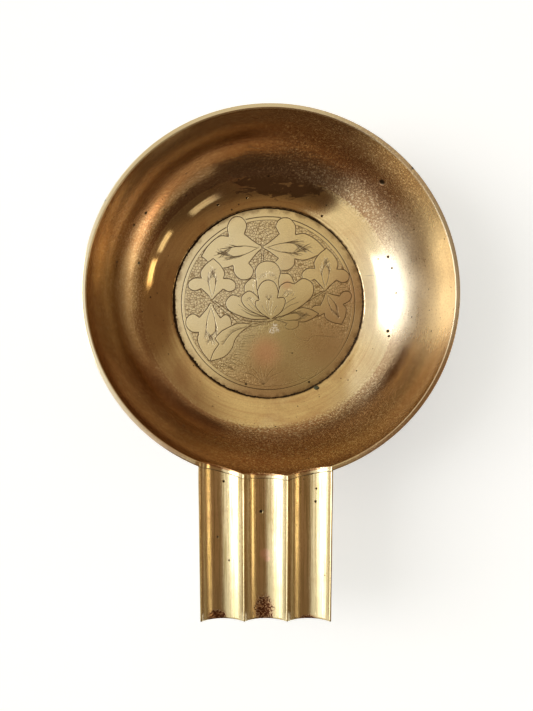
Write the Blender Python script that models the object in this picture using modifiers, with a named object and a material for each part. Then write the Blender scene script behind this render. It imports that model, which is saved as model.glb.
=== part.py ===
"""Brass incense burner: a turned dish with a plate let into its floor, a foot ring, and a three-flute handle.

Blender 4.5, metres, +Z up. The origin is the centre of the bounding box's underside, on the table that the
foot ring stands on. The handle points along -Y, and the dish's own axis stands at y = AXIS_Y.
"""

import math

import bmesh
import bpy
from mathutils import Matrix

MM = 0.001

# Driving dimensions of the dish
RIM_R = 70.0 * MM  # outer radius of the lip
WALL = 1.8 * MM  # thickness of the wall, and so the width of the lip
HOLE_R = 38.5 * MM  # opening in the floor, over the medallion
SEAT_Z = 6.5 * MM  # flat turned under the floor, where the foot ring and the medallion are soldered
FLOOR_EDGE = 1.1 * MM  # thickness of the floor at the edge of the opening
FLOOR_SLOPE = math.radians(6)  # slope of the inside at the opening
TURN_SLOPE = math.radians(37)  # slope where the floor's curve passes into the wall's
RIM_SLOPE = math.radians(77)  # slope of the inside at the lip
FLOOR_CURVE_R = 24.2 * MM  # radius of the floor's curve
LIP_ROUND = 0.35 * MM  # rounding of both edges of the lip

# Foot and medallion
FOOT_OUTER_R = 43.2 * MM
FOOT_INNER_R = 40.4 * MM
FOOT_TAPER = 0.6 * MM  # how much narrower the foot is at the table
FOOT_CHAMFER = 0.4 * MM
MEDALLION_R = 40.1 * MM
MEDALLION_T = 1.3 * MM

# Fluted handle
HANDLE_X = -2.0 * MM  # the handle is soldered on a little to the left of the dish's axis
REACH = 121.3 * MM  # from the dish's axis to the handle's end
PITCH = 16.2 * MM  # from flute to flute
FLUTE_DEPTH = 3.6 * MM
RIDGE = 0.3 * MM  # flat left on top of each ridge
SIDE_FLAT = 0.6 * MM  # flat on top of the two outer edges
HANDLE_T = 1.7 * MM  # thickness under a flute
END_NARROWING = 0.967  # width at the handle's end over its width at the dish
END_LEAN = math.radians(10)  # the end face leans back towards the dish, so that its lower edge is set back
FLUTES = 3

# Fits
GAP = 0.3 * MM  # left between pieces that touch
BEAD_R = 0.6 * MM  # solder bead under the handle
FILLET_W = 1.0 * MM  # width of the solder fillets round the medallion and the foot
FILLET_H = 0.8 * MM  # height of those fillets

TURN_STEPS = 96
FLUTE_STEPS = 16
CURVE_STEPS = 9

# Worked out from those
AXIS_Y = (REACH - RIM_R) / 2
FLOOR_Z = SEAT_Z + FLOOR_EDGE
LIP_INNER_R = RIM_R - WALL
TURN_R = HOLE_R + FLOOR_CURVE_R * (math.sin(TURN_SLOPE) - math.sin(FLOOR_SLOPE))
WALL_CURVE_R = (LIP_INNER_R - TURN_R) / (math.sin(RIM_SLOPE) - math.sin(TURN_SLOPE))
TURN_Z = FLOOR_Z + FLOOR_CURVE_R * (math.cos(FLOOR_SLOPE) - math.cos(TURN_SLOPE))
RIM_Z = TURN_Z + WALL_CURVE_R * (math.cos(TURN_SLOPE) - math.cos(RIM_SLOPE))
FLUTE_HALF = (PITCH - RIDGE) / 2
FLUTE_R = (FLUTE_HALF**2 + FLUTE_DEPTH**2) / (2 * FLUTE_DEPTH)
FLUTE_AXIS_Z = RIM_Z - FLUTE_DEPTH + FLUTE_R
HANDLE_HALF = PITCH * FLUTES / 2 - RIDGE / 2 + SIDE_FLAT

BRASS = (0.62, 0.45, 0.19, 1.0)
PALE_BRASS = (0.66, 0.53, 0.27, 1.0)
SOLDER = (0.20, 0.15, 0.09, 1.0)


def clear_scene():
    for obj in list(bpy.data.objects):
        bpy.data.objects.remove(obj)


def new_collection(name):
    collection = bpy.data.collections.new(name)
    bpy.context.scene.collection.children.link(collection)
    return collection


def brass_material(name, colour, roughness):
    material = bpy.data.materials.new(name)
    material.use_nodes = True
    shader = material.node_tree.nodes["Principled BSDF"]
    shader.inputs["Base Color"].default_value = colour
    shader.inputs["Metallic"].default_value = 1.0
    shader.inputs["Roughness"].default_value = roughness
    return material


def add_object(name, data, collection, material=None):
    obj = bpy.data.objects.new(name, data)
    collection.objects.link(obj)
    if material:
        data.materials.append(material)
    return obj


def hide_helper(obj):
    obj.hide_render = True
    obj.display_type = "WIRE"


def inside_curve(outward, count):
    """Points (r, z) of the dish's inside, moved outward into the wall, from the lip down to the opening."""
    points = []
    for i in range(count + 1):
        slope = RIM_SLOPE + (TURN_SLOPE - RIM_SLOPE) * i / count
        radius = WALL_CURVE_R + outward
        centre_r = TURN_R - WALL_CURVE_R * math.sin(TURN_SLOPE)
        centre_z = TURN_Z + WALL_CURVE_R * math.cos(TURN_SLOPE)
        points.append((centre_r + radius * math.sin(slope), centre_z - radius * math.cos(slope)))
    for i in range(1, count + 1):
        slope = TURN_SLOPE + (FLOOR_SLOPE - TURN_SLOPE) * i / count
        radius = FLOOR_CURVE_R + outward
        centre_r = TURN_R - FLOOR_CURVE_R * math.sin(TURN_SLOPE)
        centre_z = TURN_Z + FLOOR_CURVE_R * math.cos(TURN_SLOPE)
        points.append((centre_r + radius * math.sin(slope), centre_z - radius * math.cos(slope)))
    return points


def outside_curve(outward, lowest_z):
    """Points (r, z) of the dish's outside below the lip, down to a flat at lowest_z."""
    points = [p for p in inside_curve(WALL + outward, CURVE_STEPS) if p[1] > lowest_z + 0.2 * MM]
    return [p for p in points if p[1] < RIM_Z - LIP_ROUND]


def turned(name, profile, collection, material=None):
    """A solid turned about the dish's axis from a closed profile of (r, z) points, outer side first, top down."""
    mesh = bpy.data.meshes.new(name)
    count = len(profile)
    edges = [(i, (i + 1) % count) for i in range(count)]
    mesh.from_pydata([(r, 0.0, z) for r, z in profile], edges, [])
    obj = add_object(name, mesh, collection, material)
    obj.location = (0, AXIS_Y, 0)
    turn = obj.modifiers.new("Turn", "SCREW")
    turn.axis = "Z"
    turn.angle = 2 * math.pi
    turn.steps = TURN_STEPS
    turn.render_steps = TURN_STEPS
    turn.use_merge_vertices = True
    turn.merge_threshold = 0.01 * MM
    turn.use_smooth_shade = True
    return obj


def lip_profile():
    """The lip's top, from its inner edge over to its outer edge, with both edges rounded off."""
    inner = [(LIP_INNER_R, RIM_Z - LIP_ROUND), (LIP_INNER_R + LIP_ROUND, RIM_Z)]
    outer = [(RIM_R - LIP_ROUND, RIM_Z), (RIM_R, RIM_Z - LIP_ROUND)]
    return inner, outer


def cylinder(name, radius, depth, location, collection, vertices, turn_x=0.0):
    """A plain cylinder in the given collection, upright unless it is turned about X."""
    bpy.ops.mesh.primitive_cylinder_add(
        vertices=vertices, radius=radius, depth=depth, location=location, rotation=(turn_x, 0, 0)
    )
    obj = bpy.context.object
    obj.name = name
    for old in list(obj.users_collection):
        old.objects.unlink(obj)
    collection.objects.link(obj)
    return obj


def flute_x(index):
    """The middle of a flute, counted from the left one."""
    return HANDLE_X + (index - (FLUTES - 1) / 2) * PITCH


def flute_cutters(collection):
    """A cylinder for each flute, long enough to notch the dish's wall from inside to outside."""
    cutters = []
    length = 30 * MM
    for i in range(FLUTES):
        place = (flute_x(i), AXIS_Y - RIM_R + length / 4, FLUTE_AXIS_Z)
        name = f"flute_cutter_{i + 1}"
        cutter = cylinder(name, FLUTE_R, length, place, collection, 4 * FLUTE_STEPS, math.pi / 2)
        hide_helper(cutter)
        cutters.append(cutter)
    return cutters


def cut(obj, cutter):
    modifier = obj.modifiers.new(f"Cut {cutter.name}", "BOOLEAN")
    modifier.operation = "DIFFERENCE"
    modifier.object = cutter


def make_bowl(parts, cutters, material):
    """The dish: lip, curved wall, floor with the opening, and the flat turned under the floor."""
    lip_inner, lip_outer = lip_profile()
    seat_edge = outside_curve(0, SEAT_Z)[-1]
    seat_r = seat_edge[0] - 0.8 * MM
    profile = [*lip_outer, *outside_curve(0, SEAT_Z), (seat_r, SEAT_Z), (HOLE_R, SEAT_Z)]
    profile += [p for p in reversed(inside_curve(0, CURVE_STEPS)) if p[1] < RIM_Z - LIP_ROUND]
    profile += lip_inner
    bowl = turned("bowl", profile, parts, material)
    for cutter in flute_cutters(cutters):
        cut(bowl, cutter)


def make_medallion(parts, material):
    """The round plate soldered under the opening; its top face is what the incense stands on."""
    place = (0, AXIS_Y, SEAT_Z - GAP - MEDALLION_T / 2)
    plate = cylinder("medallion_plate", MEDALLION_R, MEDALLION_T, place, parts, TURN_STEPS)
    plate.data.materials.append(material)


def make_foot_ring(parts, material):
    top = SEAT_Z - GAP
    profile = [
        (FOOT_OUTER_R, top),
        (FOOT_OUTER_R - FOOT_TAPER, FOOT_CHAMFER),
        (FOOT_OUTER_R - FOOT_TAPER - FOOT_CHAMFER, 0),
        (FOOT_INNER_R + FOOT_CHAMFER, 0),
        (FOOT_INNER_R, FOOT_CHAMFER),
        (FOOT_INNER_R, top),
    ]
    turned("foot_ring", profile, parts, material)


def flute_arc(centre_x, radius, half_angle, count):
    """Points (x, z) along a flute's arc, from its left edge under to its right edge."""
    angles = [-half_angle + 2 * half_angle * i / count for i in range(count + 1)]
    return [(centre_x + radius * math.sin(a), FLUTE_AXIS_Z - radius * math.cos(a)) for a in angles]


def handle_outline():
    """The handle's section (x, z): flutes with sharp ridges on top, rounded lobes below, upright outer sides."""
    top = []
    bottom = []
    flute_angle = math.asin(FLUTE_HALF / FLUTE_R)
    lobe_r = FLUTE_R + HANDLE_T
    lobe_angle = math.asin(PITCH / 2 / lobe_r)
    for i in range(FLUTES):
        x = flute_x(i)
        top += flute_arc(x, FLUTE_R, flute_angle, FLUTE_STEPS)
        lobe = flute_arc(x, lobe_r, lobe_angle, FLUTE_STEPS)
        bottom += lobe if i == 0 else lobe[1:]
    side_z = bottom[0][1]
    left_x, right_x = HANDLE_X - HANDLE_HALF, HANDLE_X + HANDLE_HALF
    left = [(left_x, side_z), (left_x, RIM_Z)]
    right = [(right_x, RIM_Z), (right_x, side_z)]
    return left + top + right + list(reversed(bottom))


def make_mesh_object(curve_object):
    """The curve object as a mesh with its caps welded, in the same place."""
    graph = bpy.context.evaluated_depsgraph_get()
    mesh = bpy.data.meshes.new_from_object(curve_object.evaluated_get(graph))
    working = bmesh.new()
    working.from_mesh(mesh)
    bmesh.ops.remove_doubles(working, verts=working.verts, dist=0.001 * MM)
    working.to_mesh(mesh)
    working.free()
    name = curve_object.name
    collection = curve_object.users_collection[0]
    matrix = curve_object.matrix_world.copy()
    bpy.data.objects.remove(curve_object)
    obj = bpy.data.objects.new(name, mesh)
    collection.objects.link(obj)
    obj.matrix_world = matrix
    return obj


def dish_envelope(collection):
    """The dish's outer shape as a filled solid, a gap larger all round: it trims the handle to the wall."""
    above = RIM_Z + 10 * MM
    outside = outside_curve(GAP, SEAT_Z)
    profile = [(RIM_R + GAP, above), (RIM_R + GAP, RIM_Z), *outside, (20 * MM, SEAT_Z), (20 * MM, above)]
    envelope = turned("dish_envelope", profile, collection)
    hide_helper(envelope)
    return envelope


def make_handle(parts, cutters, material):
    """The fluted handle: an extruded outline, narrower and leaning at its end, hollowed to the dish's wall."""
    inner_y = AXIS_Y - 50 * MM
    end_y = AXIS_Y - REACH
    length = inner_y - end_y
    curve = bpy.data.curves.new("flute_handle", "CURVE")
    curve.dimensions = "2D"
    curve.fill_mode = "BOTH"
    curve.extrude = length / 2
    outline = handle_outline()
    spline = curve.splines.new("POLY")
    spline.points.add(len(outline) - 1)
    for point, (x, z) in zip(spline.points, outline):
        point.co = (x, z, 0, 1)
    spline.use_cyclic_u = True
    blank = add_object("flute_handle", curve, parts)
    blank.matrix_world = Matrix.Translation((0, (inner_y + end_y) / 2, 0)) @ Matrix.Rotation(
        math.pi / 2, 4, "X"
    )
    bpy.context.view_layer.update()
    handle = make_mesh_object(blank)
    handle.data.transform(handle.matrix_world)
    handle.matrix_world = Matrix.Identity(4)
    wall_y = AXIS_Y - RIM_R
    for vertex in handle.data.vertices:
        along = (wall_y - vertex.co.y) / (wall_y - end_y)
        narrowing = 1 - (1 - END_NARROWING) * max(along, 0)
        vertex.co.x = HANDLE_X + (vertex.co.x - HANDLE_X) * narrowing
        if vertex.co.y < end_y + GAP:
            vertex.co.y += (RIM_Z - vertex.co.z) * math.tan(END_LEAN)
    handle.data.materials.append(material)
    cut(handle, dish_envelope(cutters))


def outer_radius_at(z):
    """The dish's outer radius at a height, between the points of its outside curve."""
    points = [(RIM_R, RIM_Z), *outside_curve(0, SEAT_Z)]
    for (r_high, z_high), (r_low, z_low) in zip(points, points[1:]):
        if z_low <= z <= z_high:
            return r_low + (r_high - r_low) * (z - z_low) / (z_high - z_low)
    return RIM_R


def make_handle_solder(parts, material):
    """The solder bead along the joint of wall and handle, in the corner under the lobes."""
    clear = BEAD_R + GAP + 0.15 * MM
    route = []
    lobe_r = FLUTE_R + HANDLE_T + clear
    lobe_angle = math.asin(PITCH / 2 / lobe_r)
    for i in range(FLUTES):
        arc = flute_arc(flute_x(i), lobe_r, lobe_angle, 10)
        route += arc if i == 0 else arc[1:]
    curve = bpy.data.curves.new("handle_solder", "CURVE")
    curve.dimensions = "3D"
    curve.bevel_depth = BEAD_R
    curve.bevel_resolution = 2
    curve.use_fill_caps = True
    spline = curve.splines.new("POLY")
    spline.points.add(len(route) - 1)
    for point, (x, z) in zip(spline.points, route):
        reach = outer_radius_at(z) + clear
        point.co = (x, AXIS_Y - math.sqrt(reach**2 - x**2), z, 1)
    add_object("handle_solder", curve, parts, material)


def make_ring_solders(parts, material):
    """Solder fillets round the medallion, inside the opening, and round the outside of the foot ring."""
    outer = HOLE_R - GAP
    low = SEAT_Z
    inside = [(outer, low + FILLET_H), (outer, low), (outer - FILLET_W, low)]
    turned("medallion_solder", inside, parts, material)
    inner = FOOT_OUTER_R + GAP
    top = SEAT_Z - GAP
    outside = [(inner + FILLET_W, top), (inner, top - FILLET_H), (inner, top)]
    turned("foot_solder", outside, parts, material)


def main():
    clear_scene()
    parts = new_collection("incense_burner")
    cutters = new_collection("cutters")
    brass = brass_material("brass", BRASS, 0.3)
    pale = brass_material("medallion_brass", PALE_BRASS, 0.35)
    solder = brass_material("solder", SOLDER, 0.6)
    make_bowl(parts, cutters, brass)
    make_medallion(parts, pale)
    make_foot_ring(parts, brass)
    make_handle(parts, cutters, brass)
    make_handle_solder(parts, solder)
    make_ring_solders(parts, solder)


main()
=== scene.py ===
"""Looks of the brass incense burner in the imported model's frame: metres, +Z up, the handle along -Y."""

import math
import random

import bmesh
import bpy
import numpy as np
from mathutils import Matrix, Vector, kdtree, noise
from mathutils.geometry import delaunay_2d_cdt


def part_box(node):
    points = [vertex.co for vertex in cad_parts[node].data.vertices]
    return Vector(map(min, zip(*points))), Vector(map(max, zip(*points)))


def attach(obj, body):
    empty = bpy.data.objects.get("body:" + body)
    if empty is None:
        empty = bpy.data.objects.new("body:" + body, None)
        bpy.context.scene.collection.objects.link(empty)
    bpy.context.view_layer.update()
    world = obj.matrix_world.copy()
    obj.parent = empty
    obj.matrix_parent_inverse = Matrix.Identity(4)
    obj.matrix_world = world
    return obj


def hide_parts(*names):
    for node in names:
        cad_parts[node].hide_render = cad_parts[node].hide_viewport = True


MM = 0.001

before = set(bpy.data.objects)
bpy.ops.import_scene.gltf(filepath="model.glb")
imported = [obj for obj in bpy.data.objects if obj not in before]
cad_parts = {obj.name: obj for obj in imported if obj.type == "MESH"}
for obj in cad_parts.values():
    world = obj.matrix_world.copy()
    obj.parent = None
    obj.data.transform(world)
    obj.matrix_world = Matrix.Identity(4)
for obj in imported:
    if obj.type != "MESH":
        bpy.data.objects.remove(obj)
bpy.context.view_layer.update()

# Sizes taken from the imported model
BOWL_LOW, BOWL_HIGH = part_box("bowl")
FOOT_LOW, FOOT_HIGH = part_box("foot_ring")
PLATE_LOW, PLATE_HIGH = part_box("medallion_plate")
HANDLE_LOW, HANDLE_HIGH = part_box("flute_handle")
RIM_R = (BOWL_HIGH.x - BOWL_LOW.x) / 2
RIM_Z = BOWL_HIGH.z
AXIS_Y = (FOOT_LOW.y + FOOT_HIGH.y) / 2
END_Y = HANDLE_LOW.y
HANDLE_X = (HANDLE_LOW.x + HANDLE_HIGH.x) / 2
PLATE_R = (PLATE_HIGH.x - PLATE_LOW.x) / 2
PLATE_TOP = PLATE_HIGH.z
PLATE_UNDER = PLATE_LOW.z
FOOT_R = (FOOT_HIGH.x - FOOT_LOW.x) / 2
FOOT_TOP = FOOT_HIGH.z

# Sizes of the design
WALL = 1.8 * MM
HOLE_R = 38.5 * MM
FLOOR_SLOPE = math.radians(6)
TURN_SLOPE = math.radians(37)
RIM_SLOPE = math.radians(77)
FLOOR_CURVE_R = 24.2 * MM
FLOOR_Z = 7.6 * MM
SEAT_Z = 6.5 * MM
SEAT_R = 44.0 * MM
FOOT_WIDTH = 2.8 * MM
PITCH = 16.2 * MM
FLUTE_DEPTH = 3.6 * MM
RIDGE = 0.3 * MM
SIDE_FLAT = 0.6 * MM
HANDLE_T = 1.7 * MM
END_NARROWING = 0.967
END_LEAN = math.radians(10)
BEAD_R = 0.6 * MM
LIP_INNER_ROUND = 0.35 * MM
LIP_OUTER_ROUND = 0.45 * MM
GROOVE_DEPTH = 0.05 * MM

LIP_INNER_R = RIM_R - WALL
TURN_R = HOLE_R + FLOOR_CURVE_R * (math.sin(TURN_SLOPE) - math.sin(FLOOR_SLOPE))
TURN_Z = FLOOR_Z + FLOOR_CURVE_R * (math.cos(FLOOR_SLOPE) - math.cos(TURN_SLOPE))
WALL_CURVE_R = (LIP_INNER_R - TURN_R) / (math.sin(RIM_SLOPE) - math.sin(TURN_SLOPE))
FLUTE_HALF = (PITCH - RIDGE) / 2
FLUTE_R = (FLUTE_HALF**2 + FLUTE_DEPTH**2) / (2 * FLUTE_DEPTH)
FLUTE_AXIS_Z = RIM_Z - FLUTE_DEPTH + FLUTE_R
HANDLE_HALF = PITCH * 1.5 - RIDGE / 2 + SIDE_FLAT
FLUTE_ANGLE = math.asin(FLUTE_HALF / FLUTE_R)
LOBE_R = FLUTE_R + HANDLE_T
LOBE_ANGLE = math.asin(PITCH / 2 / LOBE_R)

# How finely the dish and the plate are meshed, in rows or in mm
INSIDE_ROWS, OUTSIDE_ROWS = 64, 34
FILL_STEP, SAMPLE_STEP = 1.6, 0.06
# Inner circle of the engraved border, in mm
BORDER_R = 33.7

# Colours of the metal, the solder and what has settled on them
BRIGHT = (0.80, 0.63, 0.35)
PALE = (0.85, 0.75, 0.52)
BROWN = (0.45, 0.225, 0.11)
OLIVE = (0.52, 0.43, 0.21)
GRIME = (0.035, 0.022, 0.012)
RUST = (0.10, 0.024, 0.009)
COPPER = (0.78, 0.40, 0.25)
PATINA = (0.16, 0.18, 0.13)
STAIN = (0.20, 0.115, 0.065)
HAZE = (0.86, 0.81, 0.68)
# worn pale of the lip's top, also used as a painted highlight on its left side
LIP_WEAR_AND_HIGHLIGHT = (0.92, 0.86, 0.70)
BACK_BROWN = (0.45, 0.33, 0.22)
SAND_LIGHT = (0.90, 0.78, 0.58)
SAND_DARK = (0.28, 0.15, 0.08)
NOTCH_PALE = (0.80, 0.70, 0.47)
HANDLE_METAL = (0.82, 0.69, 0.45)
HANDLE_END = (0.60, 0.53, 0.34)
SCORCH = (0.50, 0.17, 0.06)
PINK = (1.0, 0.72, 0.58)
PLATE_METAL = (0.90, 0.77, 0.48)
PLATE_RUBBED = (0.98, 0.92, 0.72)
PLATE_RIM = (0.16, 0.09, 0.04)
PUNCHED = (0.62, 0.43, 0.19)
PUNCH_WALL = (0.25, 0.15, 0.06)
CUT_GRIME = (0.10, 0.055, 0.025)
WHITE_SPECK = (1.0, 0.97, 0.94)
DARK_SOLDER = (0.16, 0.12, 0.075)
RING_GRIME = (0.06, 0.04, 0.025)

# Light, paper and what the camera sees past the floor
ROOM_DARK = (0.25, 0.15, 0.075)
ROOM_WARM = (0.68, 0.565, 0.37)
ROOM_RIGHT = (0.24, 0.14, 0.07)
ROOM_FRONT = (0.055, 0.035, 0.02)
BACKDROP = (0.93, 0.93, 0.92)
PAPER = (0.86, 0.885, 0.97)
PAPER_GLOW = (0.86, 0.95, 1.0)
PAPER_SIDE = 6.0

# Patches of the room's light: azimuth, half width, tilt, half height, softness, colour, share
SKY = (
    (178, 48, 50, 40, 10, (0.98, 0.92, 0.78), 0.95),
    (175, 15, 51, 17, 3, (4.6, 4.4, 4.0), 1.0),
    (-90, 20, 46, 17, 3, (0.14, 0.085, 0.05), 0.9),
    (-20, 4, 51, 3, 3, (1.15, 0.9, 0.55), 1.0),
    (-4, 5, 54, 3.5, 2.5, (2.7, 2.0, 1.05), 1.0),
    (-48, 6, 42, 3, 4, (0.7, 0.6, 0.45), 1.0),
    (-25, 36, 76, 2, 2, (0.62, 0.51, 0.32), 0.8),
)

# Camera: lens in mm, shifts as shares of the frame, place over the rim's middle, lean in degrees
LENS = 48.27
SHIFT_X, SHIFT_Y = 0.02813, 0.07032
CAMERA_X, CAMERA_Y, CAMERA_UP = -11.6 * MM, -51.4 * MM, 350 * MM
LEAN_X, LEAN_Y = math.radians(1.5), math.radians(-0.42)

# Clouds in the dish's wall, the first of them painted shade that dims a bright reflection band on the
# right wall near the lip: middle, outer and inner reach in mm, share, colour
WALL_CLOUDS_AND_SHADE = (
    ((64, 20, 33), 28, 9, 0.7, (0.47, 0.38, 0.27)),
    ((-44, -42, 24), 36, 12, 0.5, (0.30, 0.155, 0.085)),
    ((46, -42, 24), 34, 12, 0.45, (0.54, 0.44, 0.30)),
    ((-56, -4, 16), 34, 12, 0.6, (0.46, 0.33, 0.17)),
)
# Clouds on the plate: x, y, outer and inner reach in mm, share, colour
PLATE_CLOUDS = (
    (-20, 12, 42, 12, 0.85, PLATE_RUBBED),
    (10, -24, 38, 10, 0.8, OLIVE),
    (24, -14, 24, 3, 0.5, BROWN),
    (-2, -34, 22, 3, 0.5, BROWN),
    (36, 6, 18, 3, 0.5, BROWN),
    (-1, -19.5, 9.5, 1, 0.55, COPPER),
    (7.5, 7.5, 3.2, 0.4, 0.4, COPPER),
)
# Depth of the small scattered pits, in mm
FLECK_DEPTH = 0.05
# Burn marks on the handle: middle from its middle and end, half width and half length, in mm
BURNS = ((-0.6, 3.9, 4.8, 7.6), (-18.0, 1.6, 4.8, 3.2), (15.5, 0.9, 4.2, 1.6))
# Pits in the dish: x and y from its axis, and radius, in mm
DISH_PITS = (
    (43.3, 44.4, 1.7), (47.5, 17.6, 0.6), (49.0, 13.2, 0.52), (50.6, 3.2, 0.42), (47.5, -11.8, 0.75),
    (47.8, -13.9, 0.62), (-20.3, 39.1, 0.6), (-8.6, 42.1, 0.55), (21.6, 34.9, 0.6), (-51.3, 14.7, 0.55),
    (-58.9, 13.7, 0.6), (-48.1, 33.3, 0.6), (-52.5, 28.3, 0.5), (-33.0, -49.5, 0.45),
    (14.0, -58.5, 0.45), (52.6, 45.7, 0.6), (-61.2, 33.6, 0.5),
)
# Pits in the handle: x from its middle, y from its end, and radius, in mm
HANDLE_PITS = (
    (-15.4, 51.1, 0.55), (-1.6, 39.9, 0.85), (-17.6, 30.6, 0.5), (18.9, 48.4, 0.5), (18.6, 43.6, 0.55),
    (17.1, 53.9, 0.6), (-13.4, 22.0, 0.42),
)


def smoothstep(low, high, value):
    t = np.clip((value - low) / (high - low), 0, 1)
    return t * t * (3 - 2 * t)


def new_object(name, points, faces):
    """A mesh object whose faces look outward."""
    mesh = bpy.data.meshes.new(name)
    mesh.from_pydata(points, [], faces)
    working = bmesh.new()
    working.from_mesh(mesh)
    bmesh.ops.recalc_face_normals(working, faces=working.faces)
    working.to_mesh(mesh)
    working.free()
    obj = bpy.data.objects.new(name, mesh)
    bpy.context.scene.collection.objects.link(obj)
    return obj


def grid_object(name, points, wrap_rows, wrap_columns, caps=()):
    """A smooth mesh from a (rows, columns, 3) array of points: quads between neighbours, and any caps."""
    rows, columns, _ = points.shape
    index = np.arange(rows * columns).reshape(rows, columns)
    down = np.roll(index, -1, 0) if wrap_rows else index[1:]
    here = index if wrap_rows else index[:-1]
    if wrap_columns:
        quads = np.stack([here, np.roll(here, -1, 1), np.roll(down, -1, 1), down], -1)
    else:
        quads = np.stack([here[:, :-1], here[:, 1:], down[:, 1:], down[:, :-1]], -1)
    obj = new_object(name, points.reshape(-1, 3).tolist(), quads.reshape(-1, 4).tolist() + list(caps))
    obj.data.shade_smooth()
    return obj


def full_turn(count):
    return np.linspace(0, 2 * math.pi, count, endpoint=False)


def lengths_along(x, y):
    """The length of a line of points up to each of them."""
    return np.concatenate([[0], np.cumsum(np.hypot(np.diff(x), np.diff(y)))])


def beside(r, z, pairs):
    """Points (r, z) that lie beside a place by pairs of mm."""
    return [(r + out * MM, z + up * MM) for out, up in pairs]


def add_values(obj, name, values, domain="POINT"):
    layer = obj.data.attributes.new(name, "FLOAT", domain)
    layer.data.foreach_set("value", np.asarray(values, np.float32).ravel())


def inside_curve(outward=0.0):
    """The dish's inside as (r, z) from the opening up to the lip, moved outward into the wall."""
    floor_slopes = np.linspace(FLOOR_SLOPE, TURN_SLOPE, 80)
    wall_slopes = np.linspace(TURN_SLOPE, RIM_SLOPE, 160)[1:]
    slopes = np.concatenate([floor_slopes, wall_slopes])
    radius = np.where(slopes <= TURN_SLOPE, FLOOR_CURVE_R, WALL_CURVE_R)
    r = TURN_R + radius * (np.sin(slopes) - math.sin(TURN_SLOPE)) + outward * np.sin(slopes)
    z = TURN_Z + radius * (math.cos(TURN_SLOPE) - np.cos(slopes)) - outward * np.cos(slopes)
    return r, z


def flute_height(x):
    """Height of the fluted top at x from the handle's middle: the rim's plane with three troughs."""
    centre = np.clip(np.round(x / PITCH), -1, 1) * PITCH
    inside = np.clip(FLUTE_R**2 - (x - centre) ** 2, 0, None)
    trough = FLUTE_AXIS_Z - np.sqrt(inside)
    return np.where(np.abs(x - centre) < FLUTE_HALF, np.minimum(trough, RIM_Z), RIM_Z)


def rounding(depth, radius):
    """How far a rounded edge lies below its sharp corner at a distance from the edge."""
    d = np.clip(depth, 0, radius)
    return radius - np.sqrt(np.clip(radius**2 - (radius - d) ** 2, 0, None))


def column_places():
    """x of the dish's columns near the handle, from its middle: closest on the ridges' steep sides."""
    arc = np.linspace(-1, 1, 45) * FLUTE_ANGLE
    places = [np.linspace(-46, -24.9, 22)[:-1] * MM]
    for i in (-1, 0, 1):
        places.append(i * PITCH + FLUTE_R * np.sin(arc))
        places.append(np.array([i * PITCH + PITCH / 2]))
    places.append(np.linspace(24.9, 46, 22)[1:] * MM)
    return np.unique(np.round(np.concatenate(places), 7))


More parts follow.
